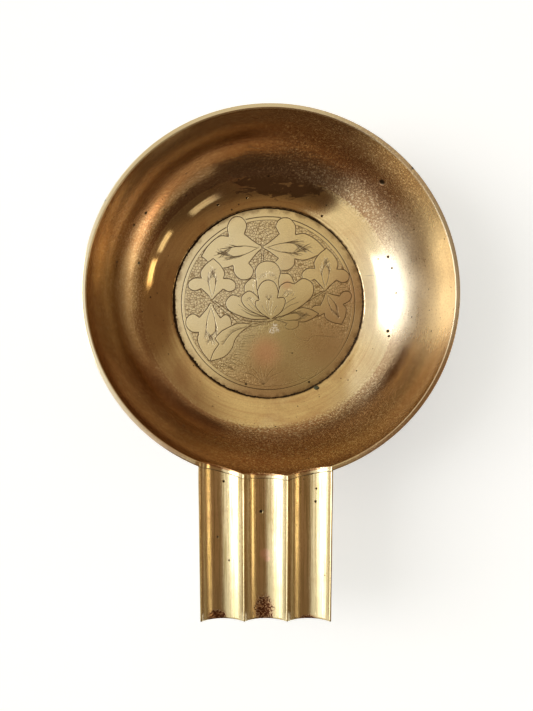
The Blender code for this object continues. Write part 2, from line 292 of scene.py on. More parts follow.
def make_bowl():
    """The dish as one closed surface: rows round its section, and columns round its axis."""
    near_x = column_places() + HANDLE_X
    mid_r = RIM_R - WALL / 2
    first, last = math.asin(near_x[0] / mid_r), math.asin(near_x[-1] / mid_r)
    far = np.linspace(last, 2 * math.pi + first, 330)[1:-1]
    angle = np.concatenate([np.arcsin(near_x / mid_r), far])
    near = np.arange(len(angle)) < len(near_x)
    x_top = mid_r * np.sin(angle)
    from_handle = np.abs(x_top - HANDLE_X)
    near_weight = np.where(near, 1 - smoothstep(27 * MM, 45 * MM, from_handle), 0)
    top_z = np.where(near, flute_height(x_top - HANDLE_X), RIM_Z)

    inner_r, inner_z = inside_curve()
    inner_length = lengths_along(inner_r, inner_z)
    outer_r, outer_z = inside_curve(WALL)
    keep = outer_z > SEAT_Z + 0.2 * MM
    outer_r, outer_z = outer_r[keep], outer_z[keep]
    outer_length = lengths_along(outer_r, outer_z)

    rows_r, rows_z = [], []
    inner_end = np.interp(top_z - LIP_INNER_ROUND, inner_z, inner_length)
    for t in np.linspace(0.014, 1, INSIDE_ROWS):
        rows_r.append(np.interp(inner_end * t, inner_length, inner_r))
        rows_z.append(np.interp(inner_end * t, inner_length, inner_z))
    past_handle = np.where(near, smoothstep(HANDLE_HALF, HANDLE_HALF + 1.5 * MM, from_handle), 1)
    outer_share = past_handle * 0.9 + 0.1
    outer_end = np.interp(top_z - LIP_OUTER_ROUND * outer_share, outer_z, outer_length)
    lip_in = rows_r[-1]
    lip_out = np.where(from_handle < HANDLE_HALF, np.interp(outer_end, outer_length, outer_r), RIM_R)
    lip_out = np.where(near, np.minimum(lip_out, RIM_R), RIM_R)
    width = lip_out - lip_in
    for t in (0.03, 0.08, 0.14, 0.22, 0.38, 0.6, 0.76, 0.85, 0.92, 0.97):
        inner_drop = rounding(width * t, LIP_INNER_ROUND)
        outer_drop = rounding(width * (1 - t), LIP_OUTER_ROUND) * outer_share
        rows_r.append(lip_in + width * t)
        rows_z.append(top_z - (inner_drop + outer_drop))
    lip_end = len(rows_r) + 1
    for t in np.linspace(1, 0, OUTSIDE_ROWS):
        rows_r.append(np.minimum(np.interp(outer_end * t, outer_length, outer_r), RIM_R))
        rows_z.append(np.interp(outer_end * t, outer_length, outer_z))
    seat = beside(SEAT_R, SEAT_Z, ((0, 0), (-1.5, 0)))
    throat = beside(HOLE_R, SEAT_Z, ((2, 0), (0, 0), (-0.02, 0.4)))
    edge = beside(HOLE_R, FLOOR_Z, ((-0.02, -0.42), (0.03, -0.25), (0.12, -0.12), (0.28, -0.02)))
    for r, z in seat + throat + edge:
        rows_r.append(np.full_like(angle, r))
        rows_z.append(np.full_like(angle, z))
    r, z = np.array(rows_r), np.array(rows_z)
    # near the handle the columns stand upright, so that the ridges' sides run along them
    upright = near_weight * smoothstep(-14 * MM, -6 * MM, z - RIM_Z) * smoothstep(58 * MM, 64 * MM, r)
    x = x_top * (upright + (1 - upright) * r / mid_r)
    side = np.where(np.cos(angle) >= 0, 1.0, -1.0)
    y = AXIS_Y - side * np.sqrt(np.clip(r**2 - x**2, 0, None))
    bowl = grid_object("burner_bowl", np.stack([x, y, z], -1), True, True)
    add_values(bowl, "outside", (np.arange(len(rows_r)) > lip_end)[:, None] + 0 * angle)
    return bowl


def wall_y(x, z, clear):
    """y of the dish's outside, on the handle's side, at the places x and heights z."""
    outer_r, outer_z = inside_curve(WALL)
    r = np.minimum(np.interp(z, outer_z, outer_r), RIM_R) + clear
    return AXIS_Y - np.sqrt(r**2 - x**2)


def handle_section():
    """The handle's section as matching (x, z) points of its top and its underside, from left to right."""
    arc = np.linspace(-1, 1, 49)
    top_x, top_z, low_x, low_z = [], [], [], []
    for i in (-1, 0, 1):
        top_x += list(i * PITCH + FLUTE_R * np.sin(arc * FLUTE_ANGLE))
        top_z += list(FLUTE_AXIS_Z - FLUTE_R * np.cos(arc * FLUTE_ANGLE))
        low_x += list(i * PITCH + LOBE_R * np.sin(arc * LOBE_ANGLE))
        low_z += list(FLUTE_AXIS_Z - LOBE_R * np.cos(arc * LOBE_ANGLE))
        if i < 1:
            top_x.append((i + 0.5) * PITCH)
            top_z.append(RIM_Z)
            low_x.append((i + 0.5) * PITCH)
            low_z.append(low_z[-1] - 0.02 * MM)
    side_z = low_z[0]
    edge_x = [-HANDLE_HALF, -HANDLE_HALF + 0.08 * MM, -HANDLE_HALF + 0.3 * MM]
    edge_z = [RIM_Z - 0.2 * MM, RIM_Z - 0.04 * MM, RIM_Z]
    top_x = edge_x + top_x + [-v for v in reversed(edge_x)]
    top_z = edge_z + top_z + list(reversed(edge_z))
    low_x = [-HANDLE_HALF, -HANDLE_HALF, -HANDLE_HALF + 0.2 * MM] + low_x
    low_z = [side_z + 1.5 * MM, side_z + 0.3 * MM, side_z] + low_z
    low_x += [HANDLE_HALF - 0.2 * MM, HANDLE_HALF, HANDLE_HALF]
    low_z += [side_z, side_z + 0.3 * MM, side_z + 1.5 * MM]
    return [np.array(v) for v in (top_x, top_z, low_x, low_z)]


def crack_depth(x):
    """How open the soldered joint is at x from the handle's middle, 0 to 1: wide in two of the flutes."""
    left = smoothstep(-20.4, -19.2, x / MM) * (1 - smoothstep(-15.2, -13.2, x / MM))
    right = smoothstep(13.2, 14.6, x / MM) * (1 - smoothstep(17.4, 18.4, x / MM))
    return np.maximum(left, right)


def make_handle():
    """The fluted handle: its section drawn out from the dish's wall to the end, narrowing a little."""
    top_x, top_z, low_x, low_z = handle_section()
    loop_x = np.concatenate([top_x, low_x[::-1]])
    loop_z = np.concatenate([top_z, low_z[::-1]])
    start = wall_y(loop_x + HANDLE_X, loop_z, 0.03 * MM)
    near_wall, near_end = [0, 0.0015, 0.004, 0.01, 0.02], [0.994, 0.998, 1.0]
    along = np.concatenate([near_wall, np.linspace(0.04, 0.985, 70), near_end])
    inset = np.zeros_like(along)
    inset[-2:] = (0.06 * MM, 0.2 * MM)
    step_x = np.roll(loop_x, -1) - np.roll(loop_x, 1)
    step_z = np.roll(loop_z, -1) - np.roll(loop_z, 1)
    size = np.hypot(step_x, step_z) + 1e-12
    inward_x, inward_z = step_z / size, -step_x / size
    is_top = np.arange(len(loop_x)) < len(top_x)
    opened = np.where(is_top, crack_depth(loop_x), 0) * 0.16 * MM
    wall = AXIS_Y - RIM_R
    end = END_Y + (RIM_Z - loop_z) * math.tan(END_LEAN)
    rows, from_wall = [], []
    for t, step in zip(along, inset):
        y = start + (end - start) * t
        narrow = 1 - (1 - END_NARROWING) * np.clip((wall - y) / (wall - END_Y), 0, 1)
        x = HANDLE_X + (loop_x + inward_x * step) * narrow
        z = loop_z + inward_z * step
        rows.append(np.stack([x, y - opened * (t == 0), z], -1))
        from_wall.append((start - y) / MM)
    count, caps = len(loop_x), []
    for base in (0, (len(rows) - 1) * count):
        for i in range(len(top_x) - 1):
            caps.append((base + i, base + i + 1, base + count - 2 - i, base + count - 1 - i))
    handle = grid_object("burner_handle", np.array(rows), False, True, caps)
    add_values(handle, "from_wall", np.array(from_wall))
    handle.data.set_sharp_from_angle(angle=math.radians(50))
    return handle


def uneven(x, y, z, size, seed):
    """Smooth noise, about -1 to 1, at arrays of points; size is that of its lumps in metres."""
    points = np.stack(np.broadcast_arrays(x, y, z), -1).astype(float)
    flat = points.reshape(-1, 3) / size + seed * 17.3
    values = [noise.noise(Vector(p)) for p in flat]
    return np.array(values).reshape(points.shape[:-1])


def turned_ring(name, profile, lumps=0.0, seed=0):
    """A closed ring turned about the dish's axis from (r, z) points, its surface uneven by up to lumps."""
    angle = full_turn(288)
    r = np.array([p[0] for p in profile])[:, None] + 0 * angle
    z = np.array([p[1] for p in profile])[:, None] + 0 * angle
    if lumps:
        x, y = r * np.sin(angle), r * np.cos(angle)
        r = r - lumps * np.abs(uneven(x, y, z, 1.3 * MM, seed))
        z = z + 0.5 * lumps * uneven(x, y, z, 1.7 * MM, seed + 1)
    points = np.stack([r * np.sin(angle), AXIS_Y - r * np.cos(angle), z], -1)
    ring = grid_object(name, points, True, True)
    ring.data.set_sharp_from_angle(angle=math.radians(40))
    return ring


def make_foot_ring():
    """The foot: a tapered band with softened edges and two fine grooves turned round its outside."""
    inner = FOOT_R - FOOT_WIDTH
    profile = beside(FOOT_R, FOOT_TOP, ((0, 0), (-0.05, -0.6)))
    for height in (4.4, 1.9):
        edge = FOOT_R - 0.6 * MM * (1 - height / 6.2)
        groove = ((0, 0.25), (-0.09, 0.12), (-0.13, 0), (-0.09, -0.12), (0, -0.25))
        profile += beside(edge, height * MM, groove)
    profile += beside(FOOT_R, 0, ((-0.58, 0.45), (-0.66, 0.18), (-0.86, 0.03), (-1.1, 0)))
    profile += beside(inner, 0, ((0.5, 0), (0.2, 0.05), (0.04, 0.2), (0, 0.45), (0, 3.0)))
    return turned_ring("burner_foot", profile + [(inner, FOOT_TOP)])


def make_foot_solder():
    """The solder fillet in the corner between the foot and the dish's underside."""
    fillet = ((1.15, 0.02), (0.7, -0.2), (0.38, -0.5), (0.2, -0.9), (0, -0.8), (0, 0.02))
    profile = beside(FOOT_R + 0.05 * MM, FOOT_TOP, fillet)
    return turned_ring("burner_foot_solder", profile, lumps=0.16 * MM, seed=5)


def make_plate_solder():
    """Grime and solder round the plate's edge, ragged towards the middle."""
    angle = full_turn(900)
    x, y = np.sin(angle), -np.cos(angle)
    edge_x, edge_y = x * HOLE_R, y * HOLE_R
    lump = uneven(edge_x, edge_y, 0, 6 * MM, 2)
    fine = np.abs(uneven(edge_x, edge_y, 0, 0.8 * MM, 3))
    left_heavy = 0.42 * smoothstep(-0.1, 0.9, -0.9 * x - 0.3 * y)
    right_heavy = 0.3 * smoothstep(0.5, 1.0, 0.8 * x - 0.6 * y)
    heavy = 0.16 + left_heavy + right_heavy
    width = (0.12 + heavy * (0.8 + 0.8 * lump) + 1.5 * fine * heavy) * MM
    section = ((0, 0.0), (0, 0.45), (0.12, 0.34), (0.35, 0.18), (0.65, 0.09), (1, 0.02), (1, -0.01))
    rows = []
    for share, height in section:
        rough = 0.05 * np.abs(uneven(edge_x, edge_y, share * 0.01, 0.9 * MM, 4)) * (height > 0.05)
        r = HOLE_R - 0.01 * MM - width * share
        rows.append(np.stack([r * x, AXIS_Y + r * y, PLATE_TOP + (height + rough) * MM], -1))
    return grid_object("burner_plate_solder", np.array(rows), True, True)


def make_floor_lump():
    """A small lump of solder, grey-green with age, left on the edge of the opening."""
    place = np.array((19.3 * MM, AXIS_Y - 34.3 * MM, FLOOR_Z + 0.12 * MM))
    tilt = np.linspace(0, math.pi, 22)[:, None]
    angle = full_turn(36)
    x, y, z = np.sin(tilt) * np.sin(angle), np.sin(tilt) * np.cos(angle), np.cos(tilt) + 0 * angle
    size = (1 + 0.28 * uneven(x, y, z, 0.55, 8)) * MM
    points = place + np.stack([1.15 * x, 0.8 * y, 0.42 * z], -1) * size[..., None]
    return grid_object("burner_floor_solder", points, False, True)


def make_handle_bead():
    """The solder bead along the joint of wall and handle, in the corner under the lobes."""
    clear = BEAD_R + 0.45 * MM
    bead_lobe = LOBE_R + clear
    arc = np.linspace(-1, 1, 61) * math.asin(PITCH / 2 / bead_lobe)
    x = np.concatenate([i * PITCH + bead_lobe * np.sin(arc)[(i > -1) :] for i in (-1, 0, 1)])
    z = np.concatenate([FLUTE_AXIS_Z - bead_lobe * np.cos(arc)[(i > -1) :] for i in (-1, 0, 1)])
    x = x + HANDLE_X
    y = wall_y(x, z, clear)
    route = np.stack([x, y, z], -1)
    ahead = np.gradient(route, axis=0)
    ahead /= np.linalg.norm(ahead, axis=1, keepdims=True)
    side = np.cross(ahead, (0, 1, 0))
    side /= np.linalg.norm(side, axis=1, keepdims=True)
    third = np.cross(ahead, side)
    turn = full_turn(14)[None, :, None]
    radius = BEAD_R * (0.86 + 0.12 * uneven(x, y, z, 2.2 * MM, 6))
    radius[[0, -1]] *= 0.25
    ring = side[:, None] * np.cos(turn) + third[:, None] * np.sin(turn)
    points = route[:, None] + ring * radius[:, None, None]
    return grid_object("burner_handle_solder", points, False, True)


def curve_through(points, spacing=0.35):
    """A smooth line through the points (Catmull-Rom), with an even spacing; all in mm."""
    p = np.array(points, float)
    if len(p) == 2:
        count = max(2, int(np.linalg.norm(p[1] - p[0]) / spacing))
        return p[0] + (p[1] - p[0]) * np.linspace(0, 1, count + 1)[:, None]
    p = np.concatenate([2 * p[:1] - p[1:2], p, 2 * p[-1:] - p[-2:-1]])
    t = np.linspace(0, 1, 24, endpoint=False)[:, None]
    parts = []
    for a, b, c, d in zip(p, p[1:], p[2:], p[3:]):
        square, cube = 2 * a - 5 * b + 4 * c - d, 3 * b - a - 3 * c + d
        parts.append(0.5 * (2 * b + (c - a) * t + square * t**2 + cube * t**3))
    line = np.concatenate(parts + [p[-2:-1]])
    length = lengths_along(*line.T)
    at = np.linspace(0, length[-1], max(2, int(length[-1] / spacing)) + 1)
    return np.stack([np.interp(at, length, line[:, 0]), np.interp(at, length, line[:, 1])], -1)


def outline(*runs):
    """A closed outline of smooth runs, each of which starts in a notch where the one before it ends."""
    starts = [runs[-1][-1]] + [run[-1] for run in runs[:-1]]
    lines = [curve_through([start, *run]) for start, run in zip(starts, runs)]
    return np.concatenate([line[:-1] for line in lines] + [lines[0][:1]])


def inside(points, polygon):
    """Which of the points lie inside the closed polygon."""
    x, y = points[:, 0:1], points[:, 1:2]
    ax, ay = polygon[:-1, 0], polygon[:-1, 1]
    bx, by = polygon[1:, 0], polygon[1:, 1]
    crosses = (ay > y) != (by > y)
    with np.errstate(divide="ignore", invalid="ignore"):
        at = ax + (y - ay) * (bx - ax) / (by - ay)
    return (np.sum(crosses & (x < at), axis=1) % 2) == 1


class Engraving:
    """The lines cut into the plate, front shapes hiding the ones behind; in mm from the plate's middle."""

    def __init__(self):
        self.strokes = []
        self.shapes = []
        self.chance = random.Random(7)

    def line(self, points, width=0.44):
        self.strokes.append((curve_through(points) if len(points) < 12 else np.array(points), width))

    def cover(self, polygon):
        """Takes away what was cut inside the polygon, and keeps the ground's punch marks out of it."""
        kept = []
        for points, width in self.strokes:
            outside = ~inside(points, polygon)
            breaks = np.flatnonzero(np.diff(outside.astype(int))) + 1
            for part, shown in zip(np.split(points, breaks), np.split(outside, breaks)):
                if shown[0] and len(part) > 2:
                    kept.append((part, width))
        self.strokes = kept
        self.shapes.append(polygon)

    def shape(self, *runs):
        """A closed shape in front of all that was cut before it."""
        polygon = outline(*runs)
        self.cover(polygon)
        self.strokes.append((polygon, 0.5))

    def hatch(self, guide, lean, length, step=0.55, width=0.24):
        """Fine short cuts that start on a guide line and lean to one side of it."""
        points = curve_through(guide, spacing=step)
        ahead = np.gradient(points, axis=0)
        for point, along in zip(points, ahead):
            turn = math.atan2(along[1], along[0]) + math.radians(lean + self.chance.uniform(-7, 7))
            reach = length * self.chance.uniform(0.7, 1.15)
            tip = point + reach * np.array([math.cos(turn), math.sin(turn)])
            middle = (point + tip) / 2 + 0.05 * reach * np.array([-math.sin(turn), math.cos(turn)])
            self.line([point, middle, tip], width)

    def leaf(self, base, tip, left, right, vein):
        """A three-lobed leaf with its veins: two round side lobes and a long middle one."""
        base, tip = np.array(base, float), np.array(tip, float)
        u = tip - base
        v = np.array([-u[1], u[0]])

        def place(pairs, reach):
            return [base + a * u + b * reach * v for a, b in pairs]

        stem = ((0, 0.02), (0.10, 0.09), (0.25, 0.23))
        lobe = ((0.25, 0.23), (0.19, 0.36), (0.26, 0.48), (0.40, 0.49), (0.50, 0.38), (0.51, 0.23))
        point = ((0.51, 0.23), (0.66, 0.25), (0.85, 0.15), (1, 0))
        up = [place(part, left) for part in (stem, lobe, point)]
        down = [place(part, -right)[::-1] for part in (point, lobe, stem)]
        self.shape(*[run[1:] for run in up + down], [base, up[0][0]])
        for reach, lean in ((0.8, 9), (-0.7, -7)):
            bow = place(((0.06, 0), (0.28, 0.09), (0.48, 0.10), (vein, 0.02)), reach)
            self.line(bow, 0.34)
            self.hatch(bow[1:], lean, 0.2 * np.linalg.norm(u), 0.5)
            self.hatch(bow[2:], -2 * lean, 0.17 * np.linalg.norm(u), 0.6)

    def petal_veins(self, base, tops, width=0.26):
        base = np.array(base, float)
        for top in tops:
            top = np.array(top, float)
            side = np.array([-(top - base)[1], (top - base)[0]]) * 0.06
            self.line([base + 0.18 * (top - base), base + 0.6 * (top - base) + side, top], width)


def engrave_motif():
    """A flower in the middle with a leaf spray on each side, above and below, inside a border circle."""
    cut = Engraving()
    turn = np.linspace(0, 2 * math.pi, 500)
    for radius, width in ((35.0, 0.5), (BORDER_R, 0.24)):
        cut.line(radius * np.stack([np.cos(turn), np.sin(turn)], -1), width)
    for side in (-0.45, 0.45):
        cut.line([(1 + side, -6.5), (12 + side, -1.0 - side), (23 + side, 5.2)], 0.4)
        cut.line([(-11.8 + side, -7.4 + side), (-17 + side, -3.2 + side), (-22.6 + side, 1.2)], 0.4)
        cut.line([(-2.2 + side, 15.5), (-2.3 + side, 19.5), (-2.3 + 2.2 * side, 23.0)], 0.4)
        cut.line([(-0.5, -7.5 + side), (-6, -9 + side), (-12.5, -9.6 + side)], 0.34)
    for base, tip, left, right, vein in (
        ((-2.6, 22.6), (-27.0, 18.9), 0.98, 1.12, 0.62),
        ((-2.0, 22.6), (23.2, 21.6), 0.98, 0.72, 0.62),
        ((23.0, 5.2), (23.6, 22.3), 1.12, 1.12, 0.62),
        ((-22.6, 1.6), (-22.2, 18.0), 1.2, 1.15, 0.62),
        ((-23.0, -0.2), (-23.6, -23.4), 0.72, 0.86, 0.58),
        ((23.4, 4.2), (29.6, -8.6), 1.25, 1.3, 0.7),
        ((3.0, -6.6), (20.5, -4.4), 0.75, 0.55, 0.62),
    ):
        cut.leaf(base, tip, left, right, vein)
    # a long leaf that curls down over the lower left
    cut.shape(
        [(-12.2, -8.3), (-18.6, -11.2)],
        [(-21.2, -14.2), (-19.8, -16.6)],
        [(-22.0, -19.8), (-23.4, -23.6)],
        [(-17.8, -21.8), (-14.6, -18.4), (-13.2, -14.6), (-10.4, -11.4), (-6.5, -8.6)],
    )
    cut.line([(-8.5, -9.4), (-14.5, -12.0), (-18.3, -16.8)], 0.34)
    cut.hatch([(-10.5, -10.0), (-14.5, -12.2), (-17.4, -15.8)], -40, 2.6, 0.7)
    # the flower: back petals, side petals, front petal
    cut.shape([(-9.4, 7.4), (-6.6, 10.0), (-4.6, 9.2)], [(-4, 5), (-4.5, 1)], [(-9.6, 4.0)])
    cut.shape([(8.6, 11.6), (10.8, 7.8)], [(8, 4), (4, 2)], [(4.2, 12.0)])
    cut.shape(
        [(-5.2, 13.2), (-3.4, 16.1), (-0.3, 17.0), (3.1, 16.0), (4.9, 12.9), (4.3, 9.6)],
        [(4, 4), (0, 1)],
        [(-4, 4), (-4.8, 9.6)],
    )
    cut.hatch([(-4.3, 10.4), (-2.6, 12.3), (0, 13.0), (2.6, 12.3), (4.0, 10.6)], -90, 2.3, 0.62)
    cut.hatch([(-5.3, 9.0), (-5.8, 6.0), (-5.0, 3.4)], 200, 1.7, 0.62)
    cut.shape(
        [(-6.5, -6.6), (-13.0, -4.6), (-16.4, -2.4), (-17.0, 0.6), (-14.6, 3.2), (-10.8, 2.2)],
        [(-4, -1), (0.8, -6.4)],
    )
    cut.petal_veins((0.5, -6.2), ((-11.2, -2.4), (-12.4, -0.4), (-9.6, -3.6)))
    cut.shape(
        [(-5.6, -4.0), (-9.6, -1.2), (-10.8, 2.3), (-7.8, 4.8), (-4.6, 2.8), (-3.4, 0.4)],
        [(-2, -3), (0.8, -6.4)],
    )
    cut.petal_veins((0.4, -6.0), ((-8.6, 0.0), (-7.6, 1.6), (-5.8, 1.2), (-4.6, 0.0)))
    cut.hatch([(-9.6, 1.0), (-8.0, 2.6), (-6.0, 2.6)], -70, 1.9, 0.6)
    cut.shape(
        [(8.0, -4.4), (14.5, -0.4), (18.0, 3.4), (17.9, 7.8), (14.2, 9.9), (10.5, 7.7)],
        [(7.6, 8.4), (5.0, 7.0), (4.2, 4.4)],
        [(3, -1), (1.6, -6.4)],
    )
    cut.petal_veins((1.8, -6.2), ((11.6, 2.6), (9.4, 4.6), (7.6, 5.4), (12.8, 0.6)))
    cut.hatch([(6.0, 4.6), (8.2, 5.8), (10.6, 4.8)], -95, 2.6, 0.6)
    cut.shape(
        [(-2.2, -4.6), (-4.8, -1.8), (-5.0, 0.6), (-3.6, 1.2)],
        [(-4.2, 5.0), (-2.6, 8.2), (0.1, 9.3), (2.7, 8.1), (4.0, 4.9), (3.7, 2.0)],
        [(6.2, 2.2), (6.9, 0.2), (5.2, -3.6), (1.2, -6.6)],
    )
    cut.petal_veins((1.1, -6.4), ((-2.6, -0.6), (-0.9, 1.0), (0.3, 1.6), (1.9, 0.8), (3.8, -0.8)), 0.24)
    cut.line([(-0.4, 2.2), (0.3, 1.4), (1.0, 2.3)], 0.6)
    cut.line([(-10.4, -7.0), (-4.5, -7.6), (1.2, -7.4), (4.5, -5.2)], 0.44)
    # a small fan of leaves at the foot of the plate, almost worn away
    root = np.array((-2, -33.2))
    for lean in (-52, -30, -10, 10, 30, 52):
        turn = math.radians(lean)
        tip = root + (9.5 * math.sin(turn), 8.5 * math.cos(turn))
        bow = root + (5.6 * math.sin(turn * 0.8), 5.0 * math.cos(turn * 0.8))
        cut.line([root, bow, tip], 0.36)
    cut.line([(11, -27.5), (14, -30.6), (18.5, -29.6), (20.5, -26.5)], 0.4)
    cut.line([(9.5, -9.8), (11.4, -13.6), (15.8, -15.4), (18.4, -13.4), (27.5, -13.8)], 0.4)
    cut.hatch([(-19.5, -25.5), (-13.5, -20.0), (-9.8, -13.6)], -62, 6.5, 1.15, 0.3)
    return cut


def wear(x, y):
    """How much of the cutting is left, 0 to 1: it is rubbed away over the lower right of the plate."""
    d = np.hypot((x - 10) / 25, (y + 21) / 14.5)
    return 0.34 + 0.66 * smoothstep(0.55, 1.25, d)


def from_ends(points):
    """How many points away the nearer end of a line is, for each of its points."""
    count = np.arange(len(points))
    return np.minimum(count, count[::-1])


def groove_sides(points, width):
    """The two edges of a cut, coming together at its ends."""
    ahead = np.gradient(points, axis=0)
    ahead /= np.linalg.norm(ahead, axis=1, keepdims=True) + 1e-9
    side = np.stack([-ahead[:, 1], ahead[:, 0]], -1)
    half = width / 2 * np.clip(from_ends(points) / 2.0, 0, 1)[:, None]
    return (points + side * half)[1:-1], (points - side * half)[1:-1]


def make_plate():
    """The plate: its top a flat face with the motif cut into it as V grooves, its underside turned."""
    cut = engrave_motif()
    points, edges = [], []

    def chain(line, loop=False):
        first = sum(len(p) for p in points)
        points.append(line)
        edges.extend((first + i, first + i + 1) for i in range(len(line) - 1))
        if loop:
            edges.append((first + len(line) - 1, first))

    edge_r = PLATE_R / MM - 0.2
    columns = 256
    turn = full_turn(columns)
    circle = np.stack([np.sin(turn), -np.cos(turn)], -1)
    chain(edge_r * circle, True)
    for line, width in cut.strokes:
        chain(line)
        left, right = groove_sides(line, width)
        for side in (left, right):
            chain(np.concatenate([line[:1], side, line[-1:]]))
    line = np.arange(-40, 40, FILL_STEP)
    fill = np.stack(np.meshgrid(line, line), -1).reshape(-1, 2)
    fill = fill[np.hypot(fill[:, 0], fill[:, 1]) < edge_r - 0.5]
    points.append(fill + 0.31)
    flat = np.concatenate(points)
    made = delaunay_2d_cdt([Vector(p) for p in flat.tolist()], edges, [], 0, 1e-4)
    place = np.array([tuple(v) for v in made[0]])
    faces = [f for f in made[2] if len(f) == 3]

    samples = [(curve_through(line, spacing=SAMPLE_STEP), width) for line, width in cut.strokes]
    tree = kdtree.KDTree(sum(len(s[0]) for s in samples))
    limits = []
    for line, width in samples:
        ends = from_ends(line) * SAMPLE_STEP
        for p, end in zip(line, ends):
            tree.insert((p[0], p[1], 0), len(limits))
            limits.append(width / 2 * min(1, 0.12 + end / 0.7))
    tree.balance()
    left_of_it = wear(place[:, 0], place[:, 1])
    groove = np.zeros(len(place))
    for i, p in enumerate(place):
        for _, which, distance in tree.find_range((p[0], p[1], 0), 0.32):
            half = limits[which]
            groove[i] = max(groove[i], 1.15 * (1 - distance / half) * math.sqrt(half / 0.25))
    groove = np.clip(np.where(groove > 0.3, groove, 0), 0, 1.2) * left_of_it
    groove[np.hypot(place[:, 0], place[:, 1]) > edge_r - 0.2] = 0

    middle = place[np.array(faces)].mean(1)
    ground = np.hypot(middle[:, 0], middle[:, 1]) < BORDER_R
    for polygon in cut.shapes:
        ground &= ~inside(middle, polygon)

    rings = [(PLATE_R / MM, PLATE_TOP - 0.2 * MM), (PLATE_R / MM, PLATE_UNDER + 0.2 * MM)]
    rings += [(r, PLATE_UNDER) for r in (edge_r, 32, 24, 14, 4)]
    count = len(place)
    heights = PLATE_TOP - GROOVE_DEPTH * groove
    vertices = [(p[0] * MM, AXIS_Y + p[1] * MM, z) for p, z in zip(place, heights)]
    order = [int(np.argmin(np.hypot(*(place - edge_r * c).T))) for c in circle]
    faces = [tuple(f) for f in faces]
    above = order
    for r, z in rings:
        below = list(range(len(vertices), len(vertices) + columns))
        vertices += [(r * c[0] * MM, AXIS_Y + r * c[1] * MM, z) for c in circle]
        for i in range(columns):
            j = (i + 1) % columns
            faces.append((above[i], above[j], below[j], below[i]))
        above = below
    vertices.append((0, AXIS_Y, PLATE_UNDER))
    faces += [(above[i], above[(i + 1) % columns], len(vertices) - 1) for i in range(columns)]

    plate = new_object("burner_plate", vertices, faces)
    add_values(plate, "groove", np.concatenate([groove, np.zeros(len(vertices) - count)]))
    add_values(plate, "ground", np.concatenate([ground, np.zeros(len(faces) - len(middle))]), "FACE")
    return plate


class Graph:
    """Short ways to add and join the nodes of one material or world."""

    def __init__(self, owner):
        owner.use_nodes = True
        self.tree = owner.node_tree

    def put(self, value, socket):
        if isinstance(value, bpy.types.NodeSocket):
            self.tree.links.new(value, socket)
        elif isinstance(value, tuple) and socket.type == "RGBA":
            socket.default_value = (*value[:3], 1)
        else:
            socket.default_value = value

    def node(self, kind, inputs, **settings):
        """A node with its settings, and its inputs given by place or by name."""
        made = self.tree.nodes.new("ShaderNode" + kind)
        for name, value in settings.items():
            setattr(made, name, value)
        for socket, value in inputs.items():
            self.put(value, made.inputs[socket])
        return made

    def math(self, operation, a, b=0.0):
        return self.node("Math", {0: a, 1: b}, operation=operation).outputs[0]

    def times(self, first, *others):
        for other in others:
            first = self.math("MULTIPLY", first, other)
        return first

    def ramp(self, value, low, high, to_low=0.0, to_high=1.0):
        inputs = {0: value, 1: low, 2: high, 3: to_low, 4: to_high}
        return self.node("MapRange", inputs, interpolation_type="SMOOTHSTEP").outputs[0]

    def mix(self, share, a, b, blend="MIX"):
        inputs = {0: share, 6: a, 7: b}
        return self.node("Mix", inputs, data_type="RGBA", blend_type=blend).outputs[2]

    def vector(self, operation, a, b):
        made = self.node("VectorMath", {0: a, 1: b}, operation=operation)
        return made.outputs[1 if operation in ("LENGTH", "DISTANCE", "DOT_PRODUCT") else 0]

    def length(self, vector):
        return self.vector("LENGTH", vector, (0, 0, 0))

    def noise(self, vector, scale, detail=2.0, roughness=0.5, distortion=0.0):
        inputs = {"Vector": vector, "Scale": scale, "Detail": detail}
        inputs.update({"Roughness": roughness, "Distortion": distortion})
        return self.node("TexNoise", inputs).outputs[0]

    def cells(self, vector, scale, feature="F1"):
        """Cell noise: the distance to the nearest middle or edge, and the cell's own random colour."""
        made = self.node("TexVoronoi", {"Vector": vector, "Scale": scale}, feature=feature)
        return made.outputs[0], made.outputs[1]

    def wander(self, vector, scale, reach):
        """The place, pushed about by a coloured noise."""
        pushed = self.node("TexNoise", {"Vector": vector, "Scale": scale}).outputs[1]
        return self.vector("ADD", vector, self.vector("MULTIPLY", pushed, reach))

    def grey(self, value):
        return self.node("CombineColor", {i: value for i in range(3)}).outputs[0]

    def attribute(self, name):
        return self.node("Attribute", {}, attribute_name=name).outputs["Fac"]

    def strongest(self, values):
        """The greatest of several values at each point."""
        best = values[0]
        for value in values[1:]:
            best = self.math("MAXIMUM", best, value)
        return best


